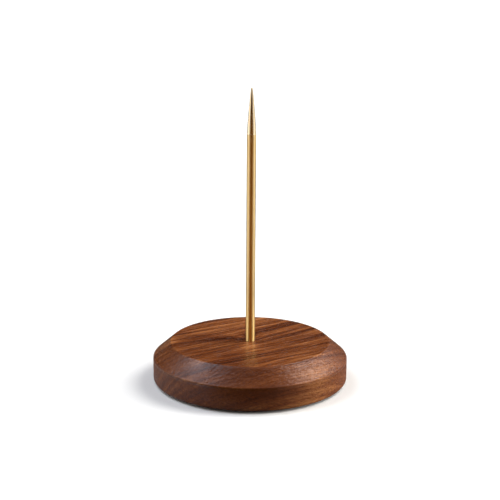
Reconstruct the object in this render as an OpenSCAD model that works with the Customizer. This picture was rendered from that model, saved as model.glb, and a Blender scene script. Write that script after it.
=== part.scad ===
// Ticket spike: a turned walnut base with an upright brass spike, screwed on from below.
// Millimetres, +Z up along the spike, origin at the centre of the underside.

/* [Base] */
// Diameter of the turned base
base_d = 101.6; // [80:0.1:140]
// Thickness of the wood
base_t = 20.2; // [14:0.1:30]
// How far the chamfer runs in from the rim
chamfer_run = 9.3; // [3:0.1:20]
// Height of the chamfer
chamfer_rise = 8; // [3:0.1:12]
// Radius of the sanded edges of the chamfer
edge_r = 0.8; // [0.2:0.1:2]
// Radius of the sanded edge at the bottom of the rim
foot_r = 1.5; // [0.2:0.1:2]

/* [Spike] */
// Diameter of the brass rod
spike_d = 4.76; // [4.5:0.01:8]
// Length of the rod above the wood, with its point
spike_h = 132; // [80:0.5:200]
// Length of the ground point
point_l = 23.6; // [12:0.1:40]
// Diameter at the very tip
tip_d = 0.9; // [0.6:0.1:1.2]
// Radius of the edge round the blunt end of the tip
tip_edge_r = 0.2; // [0.05:0.05:0.25]
// How far the outline of the point swells out from a straight cone
point_swell = 0.2; // [0:0.05:0.4]
// Width of the shoulder that sits on the wood, all round the spigot
shoulder_w = 0.28; // [0.2:0.02:0.6]
// Chamfer on the end of the spigot
spigot_chamfer = 0.3; // [0.1:0.05:0.5]
// Room left between the end of the spigot and the washer
spigot_gap = 1; // [0.5:0.1:2]

/* [Fixing] */
// Diameter of the screw
screw_d = 3; // [2:0.1:3.4]
// Length of the screw inside the spigot
thread_grip = 7.4; // [4:0.1:12]
// Depth of the tapped hole past the end of the screw
tap_spare = 2; // [1:0.1:3]
// Chamfer on the end of the screw
screw_chamfer = 0.4; // [0.1:0.05:0.5]
// Diameter of the screw's pan head
head_d = 5.6; // [5:0.1:7]
// Height of the screw's pan head
head_h = 2.4; // [1.6:0.1:3]
// Radius of the edge of the pan head
head_r = 1.5; // [0.3:0.1:2]
// Length across the cross recess in the head
recess_l = 3; // [2:0.1:3.4]
// Width of each slot of the cross recess
recess_w = 0.7; // [0.4:0.05:1]
// Depth of the cross recess
recess_depth = 1.3; // [0.8:0.1:1.5]
// Outer diameter of the plain washer
washer_d = 9; // [6.5:0.1:12]
// Thickness of the plain washer
washer_t = 0.8; // [0.5:0.05:1.2]
// Outer diameter of the spring washer
spring_d = 6.2; // [5:0.1:7]
// Thickness of the spring washer
spring_t = 0.8; // [0.5:0.05:1.2]
// Width of the split in the spring washer
split_w = 0.5; // [0.3:0.05:0.8]
// Lean of the split from upright, in degrees
split_lean = 35; // [0:1:45]
// Room under the screw's head, inside the counterbore
head_room = 0.8; // [0.3:0.1:2]

/* [Pad] */
// Width of the ring of wood round the pad
pad_margin = 8.6; // [4:0.1:20]
// Thickness of the cork pad
pad_t = 2; // [1.5:0.1:4]
// Depth of the turned recess that the pad sits in
pad_recess = 1; // [0.5:0.1:1.4]
// Chamfer round the lower edge of the pad
pad_chamfer = 0.3; // [0.1:0.05:0.4]

/* [Clearances] */
// Gap all round the spigot in its hole
spigot_clear = 0.05; // [0.02:0.01:0.2]
// Gap all round the screw in the tapped hole
thread_clear = 0.03; // [0.02:0.01:0.1]
// Gap all round the screw in each washer
washer_clear = 0.1; // [0.05:0.01:0.3]
// Gap all round the plain washer in the counterbore
counterbore_clear = 0.5; // [0.2:0.1:1]
// Gap all round the pad in its recess
pad_clear = 0.2; // [0.1:0.05:0.5]

/* [Hidden] */
$fn = 96;
// Sides in the arc of a rounded edge, and in the outline of the point
ARC_STEPS = 8;
POINT_STEPS = 24;
// How far a cut runs past the face that it opens
cut_over = 1;
// Angle of the bottom of a drilled hole, from its axis
drill_half_angle = 59;

// Heights, from the counter up
wood_z = pad_t - pad_recess;
rim_top_z = wood_z + base_t - chamfer_rise;
wood_top_z = wood_z + base_t;
tip_z = wood_top_z + spike_h;
point_z = tip_z - point_l;
counterbore_z = pad_t + head_room + head_h + spring_t + washer_t;
washer_z = counterbore_z - washer_t;
spring_z = washer_z - spring_t;
head_z = spring_z - head_h;
spigot_z = counterbore_z + spigot_gap;
screw_end_z = spigot_z + thread_grip;
tap_end_z = screw_end_z + tap_spare;

// Radii that follow from the fits
spigot_r = spike_d / 2 - shoulder_w;
spigot_hole_r = spigot_r + spigot_clear;
tap_r = screw_d / 2 + thread_clear;
washer_hole_r = screw_d / 2 + washer_clear;
counterbore_r = washer_d / 2 + counterbore_clear;
recess_r = base_d / 2 - pad_margin;
pad_r = recess_r - pad_clear;

// Direction from one point to another, as a vector of length 1
function toward(a, b) = (b - a) / norm(b - a);

// Points of the arc that rounds the corner at b, between a and c, with radius r
function round_corner(a, b, c, r) =
    let (
        u = toward(b, a),
        v = toward(b, c),
        half = acos(u * v) / 2,
        centre = b + toward([0, 0], u + v) * r / sin(half),
        from = b + u * r / tan(half) - centre,
        to = b + v * r / tan(half) - centre,
        start = atan2(from.y, from.x),
        turn = atan2(from.x * to.y - from.y * to.x, from * to)
    )
    [for (i = [0 : ARC_STEPS]) centre + r * [cos(start + turn * i / ARC_STEPS), sin(start + turn * i / ARC_STEPS)]];

// Radius of the point at a share t of its length, from the rod to the tip
function point_r(t) = spike_d / 2 * (1 - t) + tip_d / 2 * t + 4 * point_swell * t * (1 - t);

// A washer's ring, lying on its lower face
module ring(outer_r, inner_r, height) {
    difference() {
        cylinder(r = outer_r, h = height);
        translate([0, 0, -cut_over]) cylinder(r = inner_r, h = height + 2 * cut_over);
    }
}

// The turned disc before it is bored
module turned_disc() {
    foot = [base_d / 2, wood_z];
    rim = [base_d / 2, rim_top_z];
    shoulder = [base_d / 2 - chamfer_run, wood_top_z];
    bottom_centre = [0, wood_z];
    top_centre = [0, wood_top_z];
    rotate_extrude()
        polygon(concat(
            [bottom_centre],
            round_corner(bottom_centre, foot, rim, foot_r),
            round_corner(foot, rim, shoulder, edge_r),
            round_corner(rim, shoulder, top_centre, edge_r),
            [top_centre]
        ));
}

// Walnut disc with the hole for the spigot, the counterbore and the recess for the pad
module walnut_base() {
    color("#7a482a")
    difference() {
        turned_disc();
        cylinder(r = spigot_hole_r, h = wood_top_z + cut_over);
        cylinder(r = counterbore_r, h = counterbore_z);
        cylinder(r = recess_r, h = pad_t);
    }
}

// Brass rod with a ground point, and a tapped spigot below the shoulder that sits on the wood
module brass_spike() {
    last_step = POINT_STEPS - 1;
    point = [for (i = [0 : last_step]) [point_r(i / POINT_STEPS), point_z + point_l * i / POINT_STEPS]];
    tip_centre = [0, tip_z];
    color("#d9ab62")
    difference() {
        rotate_extrude()
            polygon(concat(
                [
                    [0, spigot_z],
                    [spigot_r - spigot_chamfer, spigot_z],
                    [spigot_r, spigot_z + spigot_chamfer],
                    [spigot_r, wood_top_z],
                    [spike_d / 2, wood_top_z]
                ],
                point,
                round_corner(point[last_step], [tip_d / 2, tip_z], tip_centre, tip_edge_r),
                [tip_centre]
            ));
        translate([0, 0, spigot_z - cut_over]) cylinder(r = tap_r, h = tap_end_z - spigot_z + cut_over);
        translate([0, 0, tap_end_z]) cylinder(r1 = tap_r, r2 = 0, h = tap_r / tan(drill_half_angle));
    }
}

// Plain steel washer against the wood
module plain_washer() {
    color("#b9bcc0")
    translate([0, 0, washer_z])
        ring(washer_d / 2, washer_hole_r, washer_t);
}

// Spring washer, pressed flat, with its slanting split
module spring_washer() {
    color("#8f9398")
    translate([0, 0, spring_z])
    difference() {
        ring(spring_d / 2, washer_hole_r, spring_t);
        translate([spring_d / 2, 0, spring_t / 2])
        rotate([split_lean, 0, 0])
            cube([spring_d, split_w, 4 * spring_t], center = true);
    }
}

// Pan-head machine screw with a cross recess, head down
module fixing_screw() {
    head_edge = [head_d / 2, head_z];
    head_seat = [head_d / 2, spring_z];
    shank_r = screw_d / 2;
    color("#a7abb0")
    difference() {
        rotate_extrude()
            polygon(concat(
                [[0, head_z]],
                round_corner([0, head_z], head_edge, head_seat, head_r),
                [
                    head_seat,
                    [shank_r, spring_z],
                    [shank_r, screw_end_z - screw_chamfer],
                    [shank_r - screw_chamfer, screw_end_z],
                    [0, screw_end_z]
                ]
            ));
        for (turn = [0, 90])
            translate([0, 0, head_z])
            rotate([0, 0, turn])
                cube([recess_l, recess_w, 2 * recess_depth], center = true);
    }
}

// Cork disc that stands on the counter
module cork_pad() {
    color("#b88a58")
    rotate_extrude()
        polygon([
            [0, 0],
            [pad_r - pad_chamfer, 0],
            [pad_r, pad_chamfer],
            [pad_r, pad_t],
            [0, pad_t]
        ]);
}

walnut_base();
brass_spike();
plain_washer();
spring_washer();
fixing_screw();
cork_pad();
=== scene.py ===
import math

import bmesh
import bpy
from mathutils import Matrix, Vector, noise


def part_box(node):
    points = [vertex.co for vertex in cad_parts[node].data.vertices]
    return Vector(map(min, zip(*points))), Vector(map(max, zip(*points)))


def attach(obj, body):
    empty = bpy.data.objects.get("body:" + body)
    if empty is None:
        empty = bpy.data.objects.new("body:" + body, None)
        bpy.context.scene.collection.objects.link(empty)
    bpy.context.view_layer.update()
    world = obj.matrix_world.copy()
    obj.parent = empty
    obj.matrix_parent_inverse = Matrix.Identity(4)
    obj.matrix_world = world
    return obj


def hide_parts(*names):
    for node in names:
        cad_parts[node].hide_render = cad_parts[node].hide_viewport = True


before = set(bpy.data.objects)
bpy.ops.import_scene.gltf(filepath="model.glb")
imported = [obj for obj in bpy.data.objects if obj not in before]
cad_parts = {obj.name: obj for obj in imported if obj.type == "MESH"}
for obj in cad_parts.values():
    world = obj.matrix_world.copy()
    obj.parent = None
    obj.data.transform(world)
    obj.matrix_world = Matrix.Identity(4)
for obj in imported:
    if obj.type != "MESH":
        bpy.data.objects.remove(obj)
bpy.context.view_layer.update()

# Walnut base.
# A disc turned from one walnut board, with a wide chamfer cut round its top and every edge sanded soft.
# Underneath are a shallow recess for the pad and a counterbore for the screw; the wood is oiled and buffed.
base_low, base_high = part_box("walnut_base")
counterbore_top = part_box("plain_washer")[1]
pad_low, pad_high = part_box("cork_pad")
base_r = base_high.x
chamfer_rise = 0.008
chamfer_run = 0.0093
chamfer_slope = math.atan2(chamfer_rise, chamfer_run)
rim_top = base_high.z - chamfer_rise
top_r = base_r - chamfer_run
sanded_r = 0.0008
sanded_foot = 0.0015
spigot_hole_r = 0.00215
washer_gap = 0.0005
counterbore_r = counterbore_top.x + washer_gap
pad_gap = 0.0002
pad_recess_r = pad_high.x + pad_gap
disc_steps = 256
crisp_angle = math.radians(35)
# Points nearer than this count as one place.
same_place = 1e-6


def turned(outline, steps):
    """A bmesh of a closed outline of (radius, height) points, spun once round the Z axis."""
    shape = bmesh.new()
    points = [shape.verts.new((radius, 0, height)) for radius, height in outline]
    edges = [shape.edges.new((a, b)) for a, b in zip(points, points[1:] + points[:1]) if a.co.x or b.co.x]
    bmesh.ops.spin(shape, geom=points + edges, cent=(0, 0, 0), axis=(0, 0, 1),
                   angle=math.tau, steps=steps, use_merge=True)
    bmesh.ops.remove_doubles(shape, verts=shape.verts, dist=same_place)
    bmesh.ops.recalc_face_normals(shape, faces=shape.faces)
    return shape


def ease_edge(shape, radius, height, width):
    """Rounds the circular edge at that radius and height."""
    round_edge = [edge for edge in shape.edges if all(
        abs(vert.co.xy.length - radius) < same_place and abs(vert.co.z - height) < same_place
        for vert in edge.verts)]
    bmesh.ops.bevel(shape, geom=round_edge, offset=width, offset_type="OFFSET", affect="EDGES",
                    segments=5, profile=0.5, material=-1)


def new_object(name, shape, material):
    """The bmesh as an object of the scene, with that material."""
    mesh = bpy.data.meshes.new(name)
    shape.to_mesh(mesh)
    shape.free()
    mesh.materials.append(material)
    made = bpy.data.objects.new(name, mesh)
    bpy.context.scene.collection.objects.link(made)
    return made


def finished(name, shape, material, node):
    """The piece as a smooth object with crisp edges, which stands for its CAD node."""
    piece = new_object(name, shape, material)
    piece.data.shade_smooth()
    piece.data.set_sharp_from_angle(angle=crisp_angle)
    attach(piece, "root")
    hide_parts(node)
    return piece


def even_shading(piece):
    """Lets large faces keep their own normals beside narrow rounded edges."""
    even = piece.modifiers.new("even_shading", "WEIGHTED_NORMAL")
    even.keep_sharp = True


def add_node(tree, kind, settings=(), inputs=()):
    """A node with its settings, and its inputs set to a value or linked to a socket."""
    made = tree.nodes.new(kind)
    for key, value in dict(settings).items():
        setattr(made, key, value)
    for key, value in dict(inputs).items():
        if isinstance(value, bpy.types.NodeSocket):
            tree.links.new(value, made.inputs[key])
        else:
            made.inputs[key].default_value = value
    return made


def new_material(name):
    """A material, its node tree, its Principled BSDF and the place of each point in the object."""
    material = bpy.data.materials.new(name)
    material.use_nodes = True
    tree = material.node_tree
    place = add_node(tree, "ShaderNodeTexCoord").outputs["Object"]
    return material, tree, tree.nodes["Principled BSDF"], place


def maths(tree, operation, a, b=0.0):
    """The result of one Math node."""
    return add_node(tree, "ShaderNodeMath", {"operation": operation}, {0: a, 1: b}).outputs[0]


def weighted(tree, *terms, start=0.0):
    """The start plus each term, which is a pair of a value and its weight."""
    total = start
    for value, weight in terms:
        total = add_node(tree, "ShaderNodeMath", {"operation": "MULTIPLY_ADD"},
                         {0: value, 1: weight, 2: total}).outputs[0]
    return total


def vector_maths(tree, operation, a, b=(0.0, 0.0, 0.0)):
    """The vector result of one Vector Math node."""
    return add_node(tree, "ShaderNodeVectorMath", {"operation": operation}, {0: a, 1: b}).outputs["Vector"]


def length_of(tree, vector):
    """The length of a vector."""
    return add_node(tree, "ShaderNodeVectorMath", {"operation": "LENGTH"}, {0: vector}).outputs["Value"]


def dot(tree, a, b):
    """The dot product of two vectors."""
    return add_node(tree, "ShaderNodeVectorMath", {"operation": "DOT_PRODUCT"}, {0: a, 1: b}).outputs["Value"]


def axes_of(tree, vector):
    """The X, Y and Z of a vector."""
    return add_node(tree, "ShaderNodeSeparateXYZ", inputs={"Vector": vector}).outputs


def from_axes(tree, x, y, z=0.0):
    """The vector with those X, Y and Z."""
    return add_node(tree, "ShaderNodeCombineXYZ", inputs={"X": x, "Y": y, "Z": z}).outputs["Vector"]


def noise_of(tree, vector, scale, detail, roughness=0.5, output="Fac"):
    """The value, or the colour, of a Noise Texture on that vector."""
    return add_node(tree, "ShaderNodeTexNoise", inputs={
        "Vector": vector, "Scale": scale, "Detail": detail, "Roughness": roughness}).outputs[output]


def streaks(tree, vector, stretch, scale, detail, roughness=0.5):
    """Noise that is drawn out one way, like fibres."""
    return noise_of(tree, vector_maths(tree, "MULTIPLY", vector, stretch), scale, detail, roughness)


def rising(tree, value, start, end, interpolation="SMOOTHSTEP"):
    """A value that goes from 0 to 1 while another goes from start to end."""
    return add_node(tree, "ShaderNodeMapRange", {"interpolation_type": interpolation}, {
        "Value": value, "From Min": start, "From Max": end}).outputs["Result"]


def mixed(tree, factor, a, b, blend="MIX"):
    """A colour that goes from a to b as the factor goes from 0 to 1."""
    return add_node(tree, "ShaderNodeMix", {"data_type": "RGBA", "blend_type": blend}, {
        "Factor": factor, "A": a, "B": b}).outputs["Result"]


def ramp(tree, factor, stops, interpolation="LINEAR"):
    """The colour of a ramp with stops of (position, colour)."""
    made = add_node(tree, "ShaderNodeValToRGB", inputs={"Fac": factor})
    made.color_ramp.interpolation = interpolation
    elements = made.color_ramp.elements
    while len(elements) < len(stops):
        elements.new(0.5)
    for element, (position, colour) in zip(elements, stops):
        element.position = position
        element.color = colour
    return made.outputs["Color"]


def grey(value):
    """A grey of that value, for a ramp that gives a mask."""
    return (value, value, value, 1.0)


def srgb(red, green, blue):
    """A colour written as 0 to 255, as the linear colour that nodes take."""
    linear = [c / 3294.6 if c <= 10 else ((c / 255 + 0.055) / 1.055) ** 2.4 for c in (red, green, blue)]
    return (*linear, 1.0)


def set_bump(tree, shader, height, strength, distance):
    """Lets the surface rise with a height, by no more than about that distance."""
    bump = add_node(tree, "ShaderNodeBump", inputs={
        "Height": height, "Strength": strength, "Distance": distance})
    tree.links.new(bump.outputs["Normal"], shader.inputs["Normal"])


# A soft spot is 1 in its middle and falls smoothly to 0 well past its reach. The floor has such places too.
soft_spot = bpy.data.node_groups.new("soft_spot", "ShaderNodeTree")
for socket_name in ("Place", "Middle", "Reach"):
    soft_spot.interface.new_socket(socket_name, in_out="INPUT", socket_type="NodeSocketVector")
soft_spot.interface.new_socket("Spot", in_out="OUTPUT", socket_type="NodeSocketFloat")
asked = add_node(soft_spot, "NodeGroupInput").outputs
from_middle = vector_maths(soft_spot, "SUBTRACT", asked["Place"], asked["Middle"])
in_reaches = vector_maths(soft_spot, "DIVIDE", from_middle, asked["Reach"])
fall = maths(soft_spot, "MULTIPLY", dot(soft_spot, in_reaches, in_reaches), -1.0)
add_node(soft_spot, "NodeGroupOutput", inputs={"Spot": maths(soft_spot, "EXPONENT", fall)})


def near_spot(tree, place, middle, reach):
    """The mask of one soft spot."""
    return add_node(tree, "ShaderNodeGroup", {"node_tree": soft_spot}, {
        "Place": place, "Middle": middle, "Reach": reach}).outputs["Spot"]


def near_spots(tree, place, spots):
    """The sum of soft spots, each given as its middle, its reach and its share."""
    return weighted(tree, *((near_spot(tree, place, middle, reach), share) for middle, reach, share in spots))


def near_circle(tree, place, radius, height, reach):
    """A value that falls smoothly from 1 on a level circle round the Z axis to 0 well past its reach."""
    out = length_of(tree, vector_maths(tree, "MULTIPLY", place, (1, 1, 0)))
    section = from_axes(tree, out, axes_of(tree, place)["Z"])
    return near_spot(tree, section, (radius, height, 0), (reach, reach, 1))


mm_per_m = 1000
# The grain runs across the disc from front left to back right, and bends a little in its right half.
grain_turn = math.radians(32)
grain_bend = 0.002
# The heart of the tree lies below the board, towards the front: distances in millimetres.
heart_across = 93.0
heart_below = 90.0
# Growth bands on the top face, as millimetres across the grain and tone from dark to light.
growth_bands = [
    (-44, 0.34), (-38, 0.42), (-34.5, 0.40), (-31.5, 0.46), (-28.5, 0.45), (-25.5, 0.14), (-22.8, 0.52),
    (-20.5, 0.36), (-16.5, 0.36), (-13.5, 0.45), (-10.5, 0.47), (-7.5, 0.46), (-5, 0.39), (-3, 0.32),
    (0, 0.46), (4.5, 0.52), (8, 0.42), (12.2, 0.23), (16, 0.44), (19.5, 0.60), (22.5, 0.42),
    (24.8, 0.60), (28.5, 0.54), (31.7, 0.60), (34.5, 0.48), (38, 0.36), (44, 0.34)]
# Bands further down, which only the rim shows, as millimetres from the heart and tone.
rim_bands = [(100, 0.42), (105, 0.50), (109, 0.42), (114, 0.40)]
first_ring = 100.0
last_ring = 178.0
ring_span = last_ring - first_ring

walnut, tree, shader, place = new_material("oiled_walnut")
to_mm = (mm_per_m, mm_per_m, mm_per_m)
along = add_node(tree, "ShaderNodeMapping", inputs={
    "Vector": place, "Rotation": (0, 0, -grain_turn), "Scale": to_mm}).outputs["Vector"]


def wander(stretch, scale, reach):
    """A slow sideways drift of the grain, in millimetres, that changes less along the grain."""
    drift = noise_of(tree, vector_maths(tree, "MULTIPLY", along, stretch), scale, 2.0, output="Color")
    return vector_maths(tree, "MULTIPLY", vector_maths(tree, "SUBTRACT", drift, (0.5, 0.5, 0.5)), reach)


long_waves = wander((0.4, 1, 1), 0.035, (0, 5, 4))
short_waves = wander((0.3, 1, 1), 0.14, (0, 1.6, 1.6))
warped = vector_maths(tree, "ADD", vector_maths(tree, "ADD", along, long_waves), short_waves)
along_x, along_y, along_z = axes_of(tree, warped)
# A small burl beside the spike pulls the bands forward, and the wood is darker to its left.
burl = near_spot(tree, place, (-0.0035, 0.0045, base_high.z), (0.007, 0.005, 0.02))
burl_pull = 9.5
dark_streak = near_spots(tree, place, [
    ((-0.018, 0.001, base_high.z), (0.016, 0.005, 0.02), 1.0),
    ((-0.033, 0.007, base_high.z), (0.012, 0.007, 0.02), 1.3)])
right_half = maths(tree, "MAXIMUM", along_x, 0.0)
bend = maths(tree, "MULTIPLY", right_half, right_half)
across = weighted(tree, (bend, -grain_bend), (burl, burl_pull), start=along_y)
ring_r = length_of(tree, from_axes(
    tree, maths(tree, "ADD", across, heart_across), maths(tree, "ADD", along_z, heart_below)))
ring_share = maths(tree, "DIVIDE", maths(tree, "SUBTRACT", ring_r, first_ring), ring_span)
top_above_heart = base_high.z * mm_per_m + heart_below
top_bands = [(math.hypot(offset + heart_across, top_above_heart), tone) for offset, tone in growth_bands]
band_tone = ramp(tree, ring_share, [
    ((radius - first_ring) / ring_span, grey(tone)) for radius, tone in rim_bands + top_bands], "EASE")

# Soft lines and thin dark ones follow the rings, fibres break them up, and pores are dark dashes.
ring_space = from_axes(
    tree, maths(tree, "MULTIPLY", along_x, 0.02), ring_r, maths(tree, "MULTIPLY", along_z, 0.1))
soft_lines = noise_of(tree, ring_space, 0.42, 4.0, 0.62)
contour = maths(tree, "SUBTRACT", noise_of(tree, ring_space, 0.3, 1.0), 0.5)
thin_line = ramp(tree, maths(tree, "ABSOLUTE", contour), [(0.0, grey(1.0)), (0.035, grey(0.0))])
fibre = streaks(tree, warped, (0.03, 1, 1), 1.1, 5.0, 0.68)
pore_noise = streaks(tree, warped, (0.06, 1, 1), 3.4, 1.0)
pore = ramp(tree, pore_noise, [(0.60, grey(0.0)), (0.70, grey(1.0))])
# The lines show most on the flat top, which is sanded smoother than the turned faces, and least on the front
# of the chamfer.
place_x, place_y, place_z = axes_of(tree, place)
on_top = rising(tree, place_z, base_high.z - sanded_r, base_high.z - sanded_r / 4, "LINEAR")
calm_front = near_spot(tree, place, (0.004, -0.047, 0.014), (0.024, 0.014, 0.008))
line_strength = weighted(tree, (on_top, 0.4), (calm_front, -0.25), start=0.6)
plain_tone = 0.44
soft_share = 1.5
fibre_share = 1.3
# The soft lines and the fibres are about a half on average, so this level gives about the plain tone.
line_level = plain_tone + (soft_share + fibre_share) / 2 - 0.01
all_lines = weighted(tree, (soft_lines, soft_share), (fibre, fibre_share), (thin_line, -0.16), (burl, -0.10),
                     (dark_streak, -0.12), (band_tone, 1.0), start=-line_level)
lines = maths(tree, "MULTIPLY", all_lines, line_strength)
# The two edges of the chamfer are a little paler, the lower one only at the front left: partly wear from
# hands, partly a painted highlight line. The rest of the lower edge stays dull, and has painted shade at the
# far left.
on_left = rising(tree, place_x, 0.015, -0.015)
on_front = rising(tree, place_y, -0.014, -0.034)
rim_edge = near_circle(tree, place, base_r, rim_top, 0.0006)
top_edge = near_circle(tree, place, top_r, base_high.z, 0.0005)
left_edge = maths(tree, "MULTIPLY", rim_edge, maths(tree, "MULTIPLY", on_left, on_front))
dull_edge = maths(tree, "SUBTRACT", rim_edge, left_edge)
worn_and_highlit_edges = weighted(tree, (left_edge, 1.6), (top_edge, 1.0))
# Painted light makes the wood paler at the far left, at the front right of the chamfer and rim, and low on
# the rim at the front right. A painted reflection of the spike makes it paler in front of the spike. It is
# darker at the right of the spike and in places round the front; the two places on the rim just under the
# chamfer are painted shade. One place high on the chamfer, on the left, is a painted highlight and has a
# glossier coat.
# Each spot here is painted light: light from the sides, floor bounce, or the spike's reflection in front of
# it.
painted_light_spots = near_spots(tree, place, [
    ((0.035, -0.035, 0.013), (0.016, 0.018, 0.011), 1.0),
    ((-0.0465, -0.006, 0.017), (0.009, 0.012, 0.007), 0.4),
    ((0.022, -0.046, 0.0015), (0.018, 0.012, 0.004), 0.8),
    ((-0.0005, -0.009, base_high.z), (0.005, 0.006, 0.006), 0.8)])
dark_grain_and_shade = near_spots(tree, place, [
    ((-0.010, -0.040, 0.0195), (0.015, 0.008, 0.003), 1.0),
    ((-0.012, -0.024, base_high.z), (0.007, 0.005, 0.004), 0.6),
    ((0.024, 0.009, base_high.z), (0.010, 0.005, 0.004), 0.5),
    # These last two spots lie on the rim just under the chamfer: painted shade.
    ((0.011, -0.0495, 0.0105), (0.012, 0.008, 0.005), 0.7),
    ((0.0416, -0.0291, 0.0115), (0.006, 0.007, 0.003), 0.6)])
# A painted highlight high on the chamfer at the left, where the coat is also glossier.
painted_highlight_and_gloss = near_spot(tree, place, (-0.0262, -0.0354, 0.0195), (0.006, 0.006, 0.003))
wood_tone = weighted(tree, (painted_light_spots, 0.29), (dark_grain_and_shade, -0.19), (painted_highlight_and_gloss, 0.10), (worn_and_highlit_edges, 0.08),
                     (maths(tree, "MULTIPLY", dull_edge, on_left), -0.12), (lines, 1.0), start=plain_tone)
wood_colour = ramp(tree, wood_tone, [
    (0.05, srgb(58, 21, 4)), (0.32, srgb(95, 46, 19)), (0.50, srgb(121, 65, 30)), (0.85, srgb(180, 115, 66))])
pore_shade = (0.35, 0.25, 0.2, 1)
pored_colour = mixed(tree, maths(tree, "MULTIPLY", pore, 0.5), wood_colour, pore_shade, "MULTIPLY")
tree.links.new(pored_colour, shader.inputs["Base Color"])
# The upright rim drinks the oil, so it stays duller than the top and the chamfer, a little less on the left.
on_rim = rising(tree, place_z, rim_top - sanded_r, rim_top - 2 * sanded_r, "LINEAR")
wood_roughness = weighted(tree, (fibre, 0.16), (pore, 0.15), (worn_and_highlit_edges, -0.04), (on_rim, 0.34),
                          (maths(tree, "MULTIPLY", on_rim, on_left), -0.13), (dull_edge, 0.25), start=0.17)
tree.links.new(wood_roughness, shader.inputs["Roughness"])
# Sanding leaves a fine ripple, deepest on the turned faces at the right. The whole relief is shallower at the
# front of the chamfer.
sanded = streaks(tree, warped, (0.4, 1, 1), 0.75, 3.0)
off_top = weighted(tree, (on_top, -0.82), start=1.0)
off_left = weighted(tree, (on_left, -0.6), start=1.0)
off_front = weighted(tree, (calm_front, -0.65), start=1.0)
ripple = maths(tree, "MULTIPLY", sanded, maths(tree, "MULTIPLY", off_top, off_left))
wood_relief = weighted(tree, (ripple, 4.8), (fibre, 0.8), (pore, -0.6))
set_bump(tree, shader, maths(tree, "MULTIPLY", off_front, wood_relief), 1.0, 0.00012)
tree.links.new(maths(tree, "MULTIPLY", painted_highlight_and_gloss, 0.2), shader.inputs["Coat Weight"])
shader.inputs["Coat Roughness"].default_value = 0.25
shader.inputs["Specular IOR Level"].default_value = 0.22

disc = turned([
    (spigot_hole_r, base_high.z), (top_r, base_high.z), (base_r, rim_top), (base_r, base_low.z),
    (pad_recess_r, base_low.z), (pad_recess_r, pad_high.z), (counterbore_r, pad_high.z),
    (counterbore_r, counterbore_top.z), (spigot_hole_r, counterbore_top.z)], disc_steps)
ease_edge(disc, top_r, base_high.z, sanded_r * math.tan(chamfer_slope / 2))
ease_edge(disc, base_r, rim_top, sanded_r * math.tan((math.pi / 2 - chamfer_slope) / 2))
ease_edge(disc, base_r, base_low.z, sanded_foot)
even_shading(finished("walnut_disc", disc, walnut, "walnut_base"))

# Brass spike.
# Drawn brass rod with a tapped spigot below its shoulder, which sits on the wood. The rod has fine lines
# along it from drawing, and its end is ground to a long swelling point, polished and blunted at the tip.
spike_low, spike_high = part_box("brass_spike")
rod_r = 0.00238
rod_steps = 96
spigot_r = 0.0021
spigot_chamfer = 0.0003
tapped_r = 0.00153
tapped_top = 0.0172
drill_half_angle = math.radians(59)
drill_tip = tapped_top + tapped_r / math.tan(drill_half_angle)
point_length = 0.0236
point_swell = 0.0002
point_steps = 24
point_start = spike_high.z - point_length
grinding_edge = 0.0003
tip_r = 0.00045
tip_edge = 0.0002
foot_fade_top = base_high.z + 0.028
foot_fade_low = base_high.z + 0.004
handled_brass = (0.65, 0.445, 0.195, 1)
rubbed_brass = (0.70, 0.49, 0.225, 1)
painted_bright_foot_brass = (1.0, 0.70, 0.27, 1)
ground_brass = (0.84, 0.65, 0.42, 1)

brass, tree, shader, place = new_material("polished_brass")
rod_height = axes_of(tree, place)["Z"]
on_point = rising(tree, rod_height, point_start, point_start + grinding_edge, "LINEAR")
drawn = streaks(tree, place, (mm_per_m, mm_per_m, 25), 3.0, 3.0)
cloud = noise_of(tree, place, 140.0, 3.0)
# Hands and paper dull the rod, and the ground point is paler. The foot is painted brighter, as a painted
# reflection.
near_foot = rising(tree, rod_height, foot_fade_top, foot_fade_low)
rod_colour = ramp(tree, cloud, [(0.3, handled_brass), (0.7, rubbed_brass)])
below_point = mixed(tree, near_foot, rod_colour, painted_bright_foot_brass)
tree.links.new(mixed(tree, on_point, below_point, ground_brass), shader.inputs["Base Color"])
brass_roughness = weighted(
    tree, (drawn, 0.08), (cloud, 0.08), (on_point, -0.18), (near_foot, 0.08), start=0.30)
tree.links.new(brass_roughness, shader.inputs["Roughness"])
drawn_lines = maths(tree, "MULTIPLY", drawn, maths(tree, "SUBTRACT", 1.0, on_point))
set_bump(tree, shader, drawn_lines, 0.15, 0.00002)
shader.inputs["Metallic"].default_value = 1.0
shader.inputs["Anisotropic"].default_value = 0.95
shader.inputs["Anisotropic Rotation"].default_value = 0.25

rod_outline = [(0, drill_tip), (tapped_r, tapped_top), (tapped_r, spike_low.z),
               (spigot_r - spigot_chamfer, spike_low.z), (spigot_r, spike_low.z + spigot_chamfer),
               (spigot_r, base_high.z), (rod_r, base_high.z)]
for step in range(point_steps + 1):
    share = step / point_steps
    point_r = rod_r * (1 - share) + tip_r * share + 4 * point_swell * share * (1 - share)
    rod_outline.append((point_r, point_start + share * point_length))
rod_outline.append((0, spike_high.z))
rod = turned(rod_outline, rod_steps)
ease_edge(rod, tip_r, spike_high.z, tip_edge)
spike = finished("brass_rod", rod, brass, "brass_spike")
# Grinding leaves a crisp line where the point starts.
for edge in spike.data.edges:
    if all(abs(spike.data.vertices[i].co.z - point_start) < same_place for i in edge.vertices):
        edge.use_edge_sharp = True

# Plain washer.
# A stamped steel washer that spreads the screw's pull over the wood inside the counterbore.
# It is zinc plated, like the rest of the fixing, and the punch leaves one face with a rounded edge.
washer_low, washer_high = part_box("plain_washer")
washer_hole_r = 0.0016
washer_steps = 96
punched_edge = 0.00018
zinc_colours = [(0.3, (0.58, 0.60, 0.63, 1)), (0.55, (0.70, 0.71, 0.72, 1)), (0.75, (0.72, 0.70, 0.64, 1))]

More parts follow.
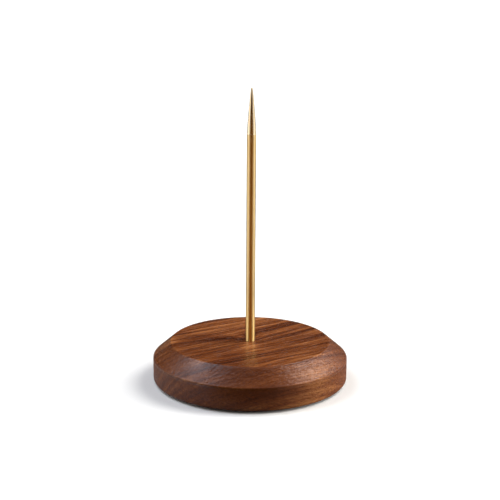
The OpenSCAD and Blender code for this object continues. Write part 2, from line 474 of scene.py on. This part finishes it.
zinc, tree, shader, place = new_material("zinc_plated_steel")
crystals = noise_of(tree, place, 2600.0, 3.0)
tarnish = noise_of(tree, place, 420.0, 3.0)
tree.links.new(ramp(tree, tarnish, zinc_colours), shader.inputs["Base Color"])
zinc_roughness = weighted(tree, (crystals, 0.16), (tarnish, 0.14), start=0.20)
tree.links.new(zinc_roughness, shader.inputs["Roughness"])
set_bump(tree, shader, crystals, 0.3, 0.00002)
shader.inputs["Metallic"].default_value = 1.0

washer = turned([(washer_hole_r, washer_low.z), (washer_high.x, washer_low.z),
                 (washer_high.x, washer_high.z), (washer_hole_r, washer_high.z)], washer_steps)
ease_edge(washer, washer_high.x, washer_low.z, punched_edge)
ease_edge(washer, washer_hole_r, washer_low.z, punched_edge)
even_shading(finished("flat_washer", washer, zinc, "plain_washer"))

# Spring washer.
# One turn of square steel wire with a slanting split, pressed flat under the screw's head so that it
# can't shake loose. It is zinc plated too.
spring_low, spring_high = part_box("spring_washer")
split_width = 0.0005
split_lean = math.radians(35)
wire_edge = 0.00012
spring_steps = 80
middle_r = (washer_hole_r + spring_high.x) / 2
half_split = split_width / 2 / middle_r
spring_middle = (spring_low.z + spring_high.z) / 2
# Small pieces need a finer measure of what counts as one place.
same_small_place = 1e-7

coil = bmesh.new()
wire_section = [(washer_hole_r, spring_low.z), (spring_high.x, spring_low.z),
                (spring_high.x, spring_high.z), (washer_hole_r, spring_high.z)]
wire_corners = [coil.verts.new((radius, 0, height)) for radius, height in wire_section]
first_end = coil.faces.new(wire_corners)
bmesh.ops.rotate(coil, verts=wire_corners, cent=(0, 0, 0), matrix=Matrix.Rotation(half_split, 3, "Z"))
bmesh.ops.spin(coil, geom=[first_end], cent=(0, 0, 0), axis=(0, 0, 1),
               angle=math.tau - 2 * half_split, steps=spring_steps, use_merge=False)
bmesh.ops.recalc_face_normals(coil, faces=coil.faces)
long_edges = [edge for edge in coil.edges
              if abs(edge.verts[0].co.z - edge.verts[1].co.z) < same_small_place
              and abs(edge.verts[0].co.xy.length - edge.verts[1].co.xy.length) < same_small_place]
bmesh.ops.bevel(coil, geom=long_edges, offset=wire_edge, offset_type="OFFSET", affect="EDGES",
                segments=3, profile=0.5, material=-1)
for vert in coil.verts:
    slant = -math.tan(split_lean) * (vert.co.z - spring_middle) / middle_r
    bmesh.ops.rotate(coil, verts=[vert], cent=(0, 0, 0), matrix=Matrix.Rotation(slant, 3, "Z"))
even_shading(finished("split_washer", coil, zinc, "spring_washer"))

# Fixing screw.
# A steel machine screw with a pan head and a cross recess, turned up into the spigot from below.
# Its thread is rolled, so the crests and roots have narrow flats, and it is zinc plated.
screw_low, screw_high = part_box("fixing_screw")
head_r = screw_high.x
head_seat = spring_low.z
seat_gap = 0.0001
dome_r = 0.0015
dome_turn = math.radians(80)
dome_steps = 8
recess_half = 0.0015
recess_half_width = 0.00035
recess_lip = 0.00002
recess_depth = 0.0013
recess_taper = 0.5
thread_r = 0.00149
thread_root_r = 0.00119
pitch = 0.0005
end_chamfer = 0.0004
turn_steps = 24

# The thread's own outline over one pitch: up one flank, along the crest, down the other and along the root.
thread_turns = round((screw_high.z - head_seat) / pitch) + 2
screw = bmesh.new()
thread_outline = [(thread_root_r, 0.0), (thread_r, 0.31), (thread_r, 0.44), (thread_root_r, 0.75),
                  (thread_root_r, 1.0)]
thread_points = [
    screw.verts.new((radius, 0, head_seat - pitch + share * pitch)) for radius, share in thread_outline]
thread_edges = [screw.edges.new(pair) for pair in zip(thread_points, thread_points[1:])]
bmesh.ops.spin(screw, geom=thread_points + thread_edges, cent=(0, 0, 0), axis=(0, 0, 1),
               dvec=(0, 0, pitch / turn_steps), angle=math.tau * thread_turns,
               steps=turn_steps * thread_turns, use_merge=False)
bmesh.ops.remove_doubles(screw, verts=screw.verts, dist=same_place)
for level, above in ((head_seat, False), (screw_high.z, True)):
    whole_thread = screw.verts[:] + screw.edges[:] + screw.faces[:]
    bmesh.ops.bisect_plane(screw, geom=whole_thread, dist=same_small_place, plane_co=(0, 0, level),
                           plane_no=(0, 0, 1), clear_outer=above, clear_inner=not above)
for vert in screw.verts:
    most = thread_r - max(0.0, vert.co.z - (screw_high.z - end_chamfer))
    if vert.co.xy.length > most:
        vert.co.xy *= most / vert.co.xy.length
end_rim = [edge for edge in screw.edges
           if edge.is_boundary and edge.verts[0].co.z > screw_high.z - same_place]
bmesh.ops.edgeloop_fill(screw, edges=end_rim)

# The head: a domed rim spun from its seat, and the cross recess let into its middle.
dome_outline = [(thread_r + seat_gap, head_seat), (head_r, head_seat)]
for step in range(dome_steps + 1):
    angle = dome_turn * step / dome_steps
    dome_outline.append((head_r - dome_r + dome_r * math.cos(angle),
                         screw_low.z + dome_r - dome_r * math.sin(angle)))
dome_points = [screw.verts.new((radius, 0, height)) for radius, height in dome_outline]
dome_edges = [screw.edges.new(pair) for pair in zip(dome_points, dome_points[1:])]
bmesh.ops.spin(screw, geom=dome_points + dome_edges, cent=(0, 0, 0), axis=(0, 0, 1),
               angle=math.tau, steps=4 * turn_steps, use_merge=True)
bmesh.ops.remove_doubles(screw, verts=screw.verts, dist=same_small_place)
open_edges = [edge for edge in screw.edges if edge.is_boundary]
seat_ring = [edge for edge in open_edges if abs(edge.verts[0].co.z - head_seat) < same_place]
bmesh.ops.triangle_fill(screw, use_beauty=True, edges=seat_ring)
face_ring = [edge for edge in open_edges if edge.verts[0].co.z < screw_low.z + dome_r / 2]
arm_corners = [(recess_half, -recess_half_width), (recess_half, recess_half_width),
               (recess_half_width, recess_half_width)]
cross = []
for quarter in range(4):
    quarter_turn = Matrix.Rotation(quarter * math.pi / 2, 3, "Z")
    for x, y in arm_corners:
        cross.append(screw.verts.new(quarter_turn @ Vector((x, y, screw_low.z + recess_lip))))
cross_ring = [screw.edges.new(pair) for pair in zip(cross, cross[1:] + cross[:1])]
bmesh.ops.triangle_fill(screw, use_beauty=True, edges=face_ring + cross_ring)
walls = bmesh.ops.extrude_edge_only(screw, edges=cross_ring)["geom"]
recess_corners = [item for item in walls if isinstance(item, bmesh.types.BMVert)]
recess_ring = [item for item in walls if isinstance(item, bmesh.types.BMEdge)
               and all(vert in recess_corners for vert in item.verts)]
bmesh.ops.translate(screw, verts=recess_corners, vec=(0, 0, recess_depth))
bmesh.ops.scale(screw, verts=recess_corners, vec=(recess_taper, recess_taper, 1))
bmesh.ops.edgeloop_fill(screw, edges=recess_ring)
bmesh.ops.recalc_face_normals(screw, faces=screw.faces)
finished("cross_head_screw", screw, zinc, "fixing_screw")

# Cork pad.
# A disc of pressed cork granules, glued into the recess under the base. It stands proud of the wood, so the
# base grips the counter, and it hides the screw. Its cut edge is a little crumbly.
pad_steps = 360
pad_chamfer = 0.0003
crumble = 0.00015
crumble_scale = 900.0
large_scale = 420.0
small_scale = 1100.0
cork_colours = [(0.15, srgb(112, 74, 44)), (0.45, srgb(168, 122, 78)), (0.75, srgb(196, 152, 104)),
                (1.0, srgb(214, 176, 130))]
seam_colour = srgb(84, 54, 32)

cork, tree, shader, place = new_material("pressed_cork")


def granules(scale, feature, output):
    """One output of a Voronoi Texture whose cells are granules of cork."""
    return add_node(tree, "ShaderNodeTexVoronoi", {"feature": feature}, {
        "Vector": place, "Scale": scale}).outputs[output]


def granule_shade(scale):
    """A shade for each granule of that scale."""
    return add_node(tree, "ShaderNodeSeparateColor", inputs={
        "Color": granules(scale, "F1", "Color")}).outputs["Red"]


large_shade = granule_shade(large_scale)
small_shade = granule_shade(small_scale)
large_gap = granules(large_scale, "DISTANCE_TO_EDGE", "Distance")
speck = noise_of(tree, place, 5200.0, 3.0)
granule_tone = weighted(tree, (large_shade, 0.45), (small_shade, 0.35), (speck, 0.3))
seam = ramp(tree, large_gap, [(0.0, grey(1.0)), (0.09, grey(0.0))])
seam_share = maths(tree, "MULTIPLY", seam, 0.6)
tree.links.new(mixed(tree, seam_share, ramp(tree, granule_tone, cork_colours), seam_colour),
               shader.inputs["Base Color"])
tree.links.new(weighted(tree, (speck, 0.2), (seam, 0.1), start=0.72), shader.inputs["Roughness"])
cork_relief = weighted(tree, (seam, -1.0), (speck, 0.5), (small_shade, 0.4))
set_bump(tree, shader, cork_relief, 0.6, 0.00012)
shader.inputs["Specular IOR Level"].default_value = 0.25

pad = turned([(0, pad_low.z), (pad_high.x - pad_chamfer, pad_low.z), (pad_high.x, pad_low.z + pad_chamfer),
              (pad_high.x, pad_high.z), (0, pad_high.z)], pad_steps)
for vert in pad.verts:
    if vert.co.xy.length > pad_high.x - 2 * pad_chamfer:
        vert.co.xy *= 1 - crumble * (0.5 + 0.5 * noise.noise(vert.co * crumble_scale)) / pad_high.x
finished("cork_disc", pad, cork, "cork_pad")

# Floor.
# A pale studio floor. The camera, and what mirrors in the metal, see it white. Only the wood's rim mirrors
# three other places on it: a dim one at each side, and a cool bright one at the front left.
floor_half = 30
dim_floor = (0.1, 0.1, 0.1, 1)
white_floor = (0.96, 0.94, 0.90, 1)
cool_floor = (1.25, 1.35, 1.6, 1)

pale, tree, shader, place = new_material("pale_floor")
path = add_node(tree, "ShaderNodeLightPath").outputs
dim_places = near_spots(tree, place, [
    ((0.09, 0.02, 0), (0.04, 0.06, 1), 1.0),
    ((-0.08, 0.03, 0), (0.045, 0.035, 1), 1.0)])
cool_place = near_spot(tree, place, (-0.055, -0.06, 0), (0.03, 0.03, 1))
mirrored = maths(tree, "MULTIPLY", path["Is Glossy Ray"], maths(tree, "SUBTRACT", 1.0, dim_places))
seen = maths(tree, "MAXIMUM", path["Is Camera Ray"],
             maths(tree, "MAXIMUM", mirrored, path["Is Transmission Ray"]))
seen_colour = mixed(tree, maths(tree, "MULTIPLY", mirrored, cool_place), white_floor, cool_floor)
tree.links.new(mixed(tree, seen, dim_floor, seen_colour), shader.inputs["Base Color"])


def make_matt(shader):
    """Takes the gloss off a floor or a card."""
    shader.inputs["Roughness"].default_value = 1.0
    shader.inputs["Specular IOR Level"].default_value = 0.0


make_matt(shader)
floor_shape = bmesh.new()
bmesh.ops.create_grid(floor_shape, x_segments=1, y_segments=1, size=floor_half)
floor = new_object("floor", floor_shape, pale)

# Cards.
# Four cards lean near the object, as a photographer sets them up, and only mirror reflections show them. The
# front one gives the brass its dark middle line, a wider brown one gives that line warm flanks, and the two
# at the back, one above the other, darken the outlines.
front_paper = [(0.07, (0.31, 0.14, 0.023, 1)), (0.1, (0.03, 0.015, 0.007, 1))]
brown_paper = [(0.03, (0.48, 0.26, 0.07, 1)), (0.09, (0.42, 0.23, 0.07, 1))]
back_paper = [(0.04, (0.12, 0.10, 0.08, 1)), (0.06, (0.01, 0.01, 0.01, 1))]
# Each card has its lower and upper corner on the left, and its colours by height in metres.
cards = {"front_card": ((-0.012, -0.058, 0.002), (-0.27, -0.45, 0.15), front_paper),
         "brown_card": ((-0.03, -0.06, 0.001), (-0.40, -0.32, 0.099), brown_paper),
         "back_card": ((-0.083, 0.058, 0.002), (-0.36, 0.251, 0.075), back_paper),
         "upper_card": ((-0.30, 0.251, 0.075), (-0.42, 0.45, 0.15), back_paper)}
for name, (lower, upper, paper) in cards.items():
    card_shape = bmesh.new()
    card_corners = [card_shape.verts.new((side * x, y, z)) for (x, y, z), side in (
        (lower, 1), (lower, -1), (upper, -1), (upper, 1))]
    bmesh.ops.contextual_create(card_shape, geom=card_corners)
    card_material, tree, shader, place = new_material(name)
    tree.links.new(ramp(tree, axes_of(tree, place)["Z"], paper), shader.inputs["Base Color"])
    make_matt(shader)
    card = new_object(name, card_shape, card_material)
    card.visible_camera = False
    card.visible_shadow = False
    card.visible_diffuse = False

# Light.
# A dim room with soft boxes: a strong one high on the right with two weak ones below it, a cooler one high on
# the left, a weak one overhead, and two low ones at the sides that show in the brass.
world = bpy.data.worlds.new("studio")
world.use_nodes = True
bpy.context.scene.world = world
tree = world.node_tree
toward = add_node(tree, "ShaderNodeTexCoord").outputs["Generated"]


def soft_box(azimuth, height, inner, outer):
    """A round soft box in that direction, in degrees, fading from 1 to 0 between inner and outer."""
    level = math.cos(math.radians(height))
    middle = (level * math.cos(math.radians(azimuth)), level * math.sin(math.radians(azimuth)),
              math.sin(math.radians(height)))
    dark_from = math.cos(math.radians(outer))
    full_from = math.cos(math.radians(inner))
    return rising(tree, dot(tree, toward, middle), dark_from, full_from)


# Each box has its azimuth from the right, its height, its inner and outer radius, and its strength.
dim_room = 0.02
left_box = soft_box(160, 56, 8, 26)
light = weighted(tree, (soft_box(22, 47, 8, 26), 7.2), (soft_box(45, 26, 6, 20), 1.0), (left_box, 4.6),
                 (soft_box(60, 12, 6, 20), 0.8), (soft_box(0, 90, 3, 22), 0.7),
                 (soft_box(-4, 18, 10, 36), 1.1), (soft_box(184, 18, 10, 36), 1.6), start=dim_room)
white_light = (1, 1, 1, 1)
cool_light = (0.90, 0.98, 1.15, 1)
background = tree.nodes["Background"]
tree.links.new(light, background.inputs["Strength"])
tree.links.new(mixed(tree, left_box, white_light, cool_light), background.inputs["Color"])

# A low lamp on the right, which lights the wood's side and chamfer there.
side_lamp_data = bpy.data.lights.new("side_lamp", "SUN")
side_lamp_data.energy = 2.4
side_lamp_data.angle = math.radians(40)
side_lamp = bpy.data.objects.new("side_lamp", side_lamp_data)
bpy.context.scene.collection.objects.link(side_lamp)
side_lamp.rotation_euler = Vector((0.977, 0.05, 0.208)).to_track_quat("Z", "Y").to_euler()
side_lamp.visible_glossy = False

# Camera.
# It stands in front of the object, higher than the spike's tip, and looks slightly down.
image_width = 500
focal_pixels = 1194.0
sensor_width = 36.0
look_down = math.radians(13.89)
lean = math.radians(0.38)
camera_place = (-0.0004, -0.5972, base_low.z + 0.2166)
camera_data = bpy.data.cameras.new("camera")
camera_data.sensor_width = sensor_width
camera_data.lens = sensor_width * focal_pixels / image_width
camera = bpy.data.objects.new("camera", camera_data)
bpy.context.scene.collection.objects.link(camera)
camera.matrix_world = (Matrix.Translation(camera_place) @ Matrix.Rotation(math.pi / 2 - look_down, 4, "X")
                       @ Matrix.Rotation(lean, 4, "Z"))
bpy.context.scene.camera = camera
bpy.context.scene.view_settings.view_transform = "Standard"
